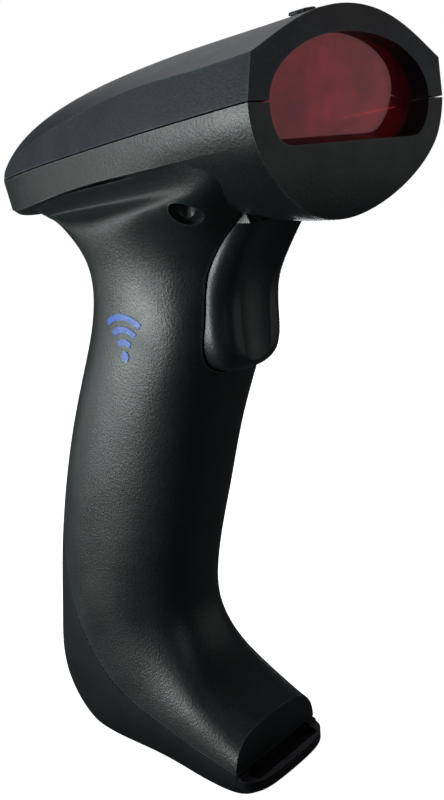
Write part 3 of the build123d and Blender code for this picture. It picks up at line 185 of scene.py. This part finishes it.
def metal(name, colour, roughness, stretch=(1, 1, 12)):
    """Bare or plated metal with fine drawn lines and a patchy polish."""
    m = Nodes(name)
    lines = m.noise(0.5 * MM, 2.0, stretch=stretch)
    tone = m.mix(m.spread(lines), tuple(0.8 * c for c in colour), colour)
    gloss = m.spread(m.noise(3 * MM), max(0.03, roughness - 0.08), roughness + 0.08)
    relief = m.bump(lines, 0.006 * MM)
    return m.finish(Base_Color=tone, Roughness=gloss, Normal=relief, Metallic=1.0)


# ---------------------------------------------------------------- materials of the outside

def cover_plastic():
    """The head's cover: bluish on its flanks; towards the top of the crown it is painted lighter, greyer and
    browner, a painted sheen.
    """
    m = Nodes("cover_plastic")
    cloud = m.noise(16 * MM, 3.0)
    base = m.mix(m.spread(cloud), (0.013, 0.017, 0.024), (0.018, 0.023, 0.031))
    # Painted sheen: by height, the crown is painted lighter and warmer, in place of the light it catches.
    crown = m.ramp(m.height(), CROWN_SHEEN_FOOT, CROWN_SHEEN_TOP)
    tone = m.mix(crown, base, (0.034, 0.031, 0.031))
    speckle = m.ramp(m.noise(0.8 * MM, 1.0), 0.45, 0.75, 0.0, 0.35)
    spotted = m.mix(speckle, tone, (0.055, 0.06, 0.066))
    # Painted highlight: the cover's edges are painted paler, in patches.
    colour = m.mix(m.edge_highlight(0.1, 0.6), spotted, (0.15, 0.155, 0.16))
    gloss = m.spread(m.noise(POLISH_PATCH, 3.0), 0.42, 0.5)
    relief = m.bump(m.noise(0.5 * MM, 2.0, 0.6), 0.055 * MM)
    return m.finish(Base_Color=colour, Roughness=gloss, Normal=relief)


def red_window():
    """Tinted red acrylic, polished, with faint smears; its red is mottled dark and bright, partly its own
    tint and partly painted reflection.
    """
    m = Nodes("red_window")
    smear = m.ramp(m.noise(6 * MM, 4.0), 0.4, 0.75, 0.03, 0.12)
    # Partly painted reflection: the red tint is mottled dark and bright in patches, in place of reflected
    # surroundings.
    tint = m.mix(m.ramp(m.noise(13 * MM, 4.0, 0.6), 0.36, 0.66), (0.22, 0.008, 0.014), (0.78, 0.06, 0.075))
    relief = m.bump(m.noise(22 * MM, 2.0), 0.06 * MM)
    return m.finish(Base_Color=tint, Roughness=smear, Normal=relief, Transmission_Weight=0.7, IOR=1.9,
                    Specular_IOR_Level=1.0, Specular_Tint=(1.0, 0.26, 0.30), Coat_Weight=0.2,
                    Coat_Roughness=0.03)


def mark_ink():
    """Blue printing, slightly uneven, a little glossier than the grain under it."""
    m = Nodes("mark_ink")
    tone = m.mix(m.spread(m.noise(2.5 * MM, 3.0)), (0.004, 0.075, 0.46), (0.010, 0.11, 0.60))
    relief = m.bump(m.noise(0.5 * MM, 2.0), 0.012 * MM)
    return m.finish(Base_Color=tone, Roughness=m.spread(m.noise(1 * MM), 0.35, 0.5), Normal=relief)


def status_lens():
    """Smoked translucent plastic over the status lamps."""
    m = Nodes("status_lens")
    tone = m.mix(m.spread(m.noise(3 * MM)), (0.02, 0.02, 0.024), (0.04, 0.04, 0.045))
    gloss = m.spread(m.noise(1.5 * MM, 3.0), 0.22, 0.34)
    relief = m.bump(m.noise(0.8 * MM), 0.008 * MM)
    return m.finish(Base_Color=tone, Roughness=gloss, Normal=relief, Coat_Weight=0.4)


def clear_glass(name, tint, roughness):
    """Polished glass or clear resin with a trace of dust."""
    m = Nodes(name)
    tone = m.mix(m.spread(m.noise(4 * MM)), tint, tuple(0.93 * c for c in tint))
    dust = m.ramp(m.noise(1 * MM, 4.0), 0.45, 0.8, roughness, roughness + 0.08)
    relief = m.bump(m.noise(3 * MM), 0.004 * MM)
    return m.finish(Base_Color=tone, Roughness=dust, Normal=relief, Transmission_Weight=0.85, IOR=1.5)


def circuit_board():
    """Green solder mask over copper, a little lighter where the tracks run."""
    m = Nodes("circuit_board")
    tracks = m.ramp(m.noise(1.6 * MM, 0.0, stretch=(1, 1, 0.25)), 0.5, 0.53)
    tone = m.mix(tracks, (0.006, 0.07, 0.03), (0.012, 0.12, 0.05))
    relief = m.bump(tracks, 0.03 * MM)
    return m.finish(Base_Color=tone, Roughness=m.spread(m.noise(3 * MM), 0.25, 0.4), Normal=relief)


def battery_wrap():
    """Blue shrink sleeve with fine wrinkles."""
    m = Nodes("battery_wrap")
    tone = m.mix(m.spread(m.noise(6 * MM)), (0.012, 0.08, 0.2), (0.02, 0.11, 0.27))
    wrinkles = m.noise(1.2 * MM, 3.0, stretch=(1, 1, 0.2))
    relief = m.bump(wrinkles, 0.02 * MM)
    return m.finish(Base_Color=tone, Roughness=m.spread(wrinkles, 0.22, 0.35), Normal=relief)


def coil_copper():
    """Enamelled wire wound in fine turns."""
    m = Nodes("coil_copper")
    turns = m.noise(0.25 * MM, 0.0, stretch=(0.1, 1, 1))
    tone = m.mix(m.ramp(turns, 0.35, 0.65), (0.3, 0.1, 0.04), (0.62, 0.28, 0.12))
    return m.finish(Base_Color=tone, Roughness=m.spread(turns, 0.22, 0.36),
                    Normal=m.bump(turns, 0.03 * MM), Metallic=1.0)


def ribbon_film():
    """Amber polyimide film with copper tracks showing through."""
    m = Nodes("ribbon_film")
    tracks = m.ramp(m.noise(0.7 * MM, 0.0, stretch=(1, 0.05, 0.05)), 0.48, 0.52)
    tone = m.mix(tracks, (0.32, 0.12, 0.02), (0.5, 0.22, 0.07))
    return m.finish(Base_Color=tone, Roughness=m.spread(m.noise(4 * MM), 0.2, 0.35),
                    Normal=m.bump(tracks, 0.02 * MM))


# Which nodes wear which material.
DRESS = [
    (cover_plastic(), ["top_cover"]),
    # The last colour of each grained plastic is the paler tone of its painted edge highlight.
    (grained_plastic("housing_plastic", (0.007, 0.010, 0.010), (0.011, 0.015, 0.015), 0.40,
                     grain=0.6 * MM, depth=0.07 * MM, highlight_colour=(0.1, 0.11, 0.11)), ["lower_housing"]),
    (grained_plastic("base_plastic", (0.003, 0.003, 0.004), (0.005, 0.005, 0.007), 0.5,
                     grain=0.35 * MM, depth=0.012 * MM, highlight_colour=(0.05, 0.05, 0.06), shine=0.3), ["base_cover"]),
    (grained_plastic("trigger_plastic", (0.009, 0.012, 0.013), (0.013, 0.017, 0.018), 0.36,
                     grain=0.5 * MM, depth=0.045 * MM, highlight_colour=(0.1, 0.11, 0.11)), ["trigger"]),
    (red_window(), ["window_pane"]),
    (smooth_plastic("gasket_rubber", (0.008, 0.008, 0.009), 0.75, 0.6 * MM), ["window_gasket"]),
    (smooth_plastic("black_plastic", (0.012, 0.012, 0.014), 0.55),
     ["window_retainer", "battery_holder", "engine_chassis", "trigger_switch", "buzzer", "mirror_carrier"]),
    (smooth_plastic("grey_plastic", (0.2, 0.21, 0.22), 0.5), ["switch_plunger"]),
    (status_lens(), ["status_lenses"]),
    (clear_glass("led_resin", (0.85, 0.87, 0.8), 0.12), ["status_leds"]),
    (circuit_board(), ["main_board", "power_board", "engine_board", "status_board"]),
    (smooth_plastic("chip_resin", (0.012, 0.012, 0.013), 0.6, 0.3 * MM), ["decoder_chip", "photo_sensor"]),
    (metal("shield_tin", (0.62, 0.62, 0.6), 0.32), ["radio_module", "charge_port"]),
    (metal("screw_steel", (0.5, 0.5, 0.5), 0.3, (1, 12, 1)),
     ["cover_screws", "base_screws", "engine_screws", "board_screws", "holder_screws"]),
    (metal("spring_steel", (0.58, 0.58, 0.58), 0.25), ["trigger_spring"]),
    (metal("pin_steel", (0.6, 0.6, 0.6), 0.2, (12, 1, 1)), ["trigger_pin", "mirror_pivot"]),
    (battery_wrap(), ["battery"]),
    (metal("contact_nickel", (0.68, 0.65, 0.58), 0.28), ["battery_contacts"]),
    (smooth_plastic("lead_insulation", (0.45, 0.02, 0.015), 0.5, 0.4 * MM), ["power_leads"]),
    (metal("laser_brass", (0.6, 0.42, 0.18), 0.25, (1, 12, 1)), ["laser_module"]),
    (metal("mirror_glass", (0.9, 0.9, 0.9), 0.1, (1, 1, 1)), ["scan_mirror"]),
    (metal("magnet_nickel", (0.72, 0.71, 0.69), 0.2), ["mirror_magnet"]),
    (coil_copper(), ["drive_coil"]),
    (clear_glass("optic_glass", (0.9, 0.93, 0.95), 0.02), ["collector_lens"]),
    (ribbon_film(), ["flex_cable"]),
    (mark_ink(), ["wireless_mark"]),
]


def dress(node, material):
    """The node wears the material in place of its plain CAD colour."""
    slots = NODES[node].data.materials
    slots.clear()
    slots.append(material)


for material, wearers in DRESS:
    for node in wearers:
        dress(node, material)


# ---------------------------------------------------------------- floor, light and camera

def glow(m, brightness):
    """Adds an even white glow of that brightness."""
    m.shader.inputs["Emission Color"].default_value = (1.0, 1.0, 1.0, 1.0)
    m.shader.inputs["Emission Strength"].default_value = brightness


def pale_floor():
    """A wide pale floor under the sole. It is seen, but throws no glare up at the dark plastic."""
    half = FLOOR_HALF
    corners = [(-half, -half, 0), (half, -half, 0), (half, half, 0), (-half, half, 0)]
    mesh = bpy.data.meshes.new("floor")
    mesh.from_pydata(corners, [], [(0, 1, 2, 3)])
    floor = bpy.data.objects.new("floor", mesh)
    bpy.context.scene.collection.objects.link(floor)
    m = Nodes("floor_white")
    tone = m.mix(m.spread(m.noise(0.4)), (0.80, 0.80, 0.80), (0.84, 0.84, 0.84))
    glow(m, FLOOR_GLOW)
    mesh.materials.append(m.finish(Base_Color=tone, Roughness=0.95, Specular_IOR_Level=0.0))
    floor.visible_glossy = False
    floor.visible_diffuse = False


def white_backdrop():
    """A white dome far behind everything. It is seen, but lights nothing."""
    bpy.ops.mesh.primitive_uv_sphere_add(segments=48, ring_count=24, radius=BACKDROP_RADIUS)
    dome = bpy.context.active_object
    dome.name = "backdrop"
    m = Nodes("backdrop_white")
    glow(m, BACKDROP_GLOW)
    dome.data.materials.append(m.finish(Base_Color=(0.0, 0.0, 0.0), Roughness=1.0, Specular_IOR_Level=0.0))
    dome.visible_glossy = False
    dome.visible_diffuse = False
    dome.visible_shadow = False


def surroundings(brightness):
    """A dim, even studio all round."""
    world = bpy.data.worlds.new("studio")
    world.use_nodes = True
    background = world.node_tree.nodes["Background"]
    background.inputs["Color"].default_value = (0.92, 0.96, 1.0, 1.0)
    background.inputs["Strength"].default_value = brightness
    bpy.context.scene.world = world


def soft_light(name, place, aim, size, power, colour=(1.0, 1.0, 1.0)):
    """A square soft box at `place` that shines at `aim`, and isn't seen itself."""
    light = bpy.data.lights.new(name, "AREA")
    light.shape = "SQUARE"
    light.size = size
    light.energy = power
    light.color = colour
    lamp = bpy.data.objects.new(name, light)
    bpy.context.scene.collection.objects.link(lamp)
    lamp.location = place
    lamp.visible_camera = False
    lamp.rotation_mode = "QUATERNION"
    lamp.rotation_quaternion = (Vector(aim) - Vector(place)).to_track_quat("-Z", "Y")


def camera():
    """Close in front of the object, on its -X side and a little above the head's window."""
    right = Vector(CAMERA_RIGHT).normalized()
    forward = Vector(CAMERA_FORWARD).normalized()
    up = right.cross(forward)
    place = Vector(CAMERA_PLACE)
    data = bpy.data.cameras.new("camera")
    data.sensor_width = CAMERA_SENSOR
    data.lens = CAMERA_LENS
    data.clip_start = CAMERA_NEAR
    data.clip_end = CAMERA_FAR
    eye = bpy.data.objects.new("camera", data)
    bpy.context.scene.collection.objects.link(eye)
    eye.matrix_world = Matrix((
        (right.x, up.x, -forward.x, place.x),
        (right.y, up.y, -forward.y, place.y),
        (right.z, up.z, -forward.z, place.z),
        (0, 0, 0, 1)))
    bpy.context.scene.camera = eye


bpy.context.scene.view_settings.view_transform = "Standard"
pale_floor()
white_backdrop()
surroundings(STUDIO_BRIGHTNESS)
soft_light("side_bounce", (-0.33, 0.30, 0.09), (0, 0.0, 0.12), 0.18, 1.3, (0.90, 1.0, 0.97))
soft_light("edge_light", (-0.12, 0.46, 0.04), (0, 0.0, 0.09), 0.10, 0.06, (0.92, 1.0, 0.99))
soft_light("trigger_glint", (-0.33, 0.17, 0.04), (0, -0.03, 0.12), 0.07, 0.35, (0.90, 1.0, 0.98))
soft_light("ceiling_light", (0.05, 0.10, 0.60), MIDDLE, 0.40, 1.8, (0.93, 0.96, 1.0))
soft_light("crown_light", (0.45, 0.50, 0.42), (0, 0, 0.16), 0.30, 0.15, (1.0, 0.96, 0.93))
soft_light("front_fill", (-0.30, -0.65, 0.30), MIDDLE, 0.40, 0.45, (0.90, 0.88, 1.0))
soft_light("window_card", (0.42, -0.42, 0.13), (0, -0.05, 0.155), 0.36, 0.14)
soft_light("far_side_fill", (0.45, 0.25, 0.02), (0, 0, 0.08), 0.12, 0.3, (0.94, 0.97, 1.0))
camera()
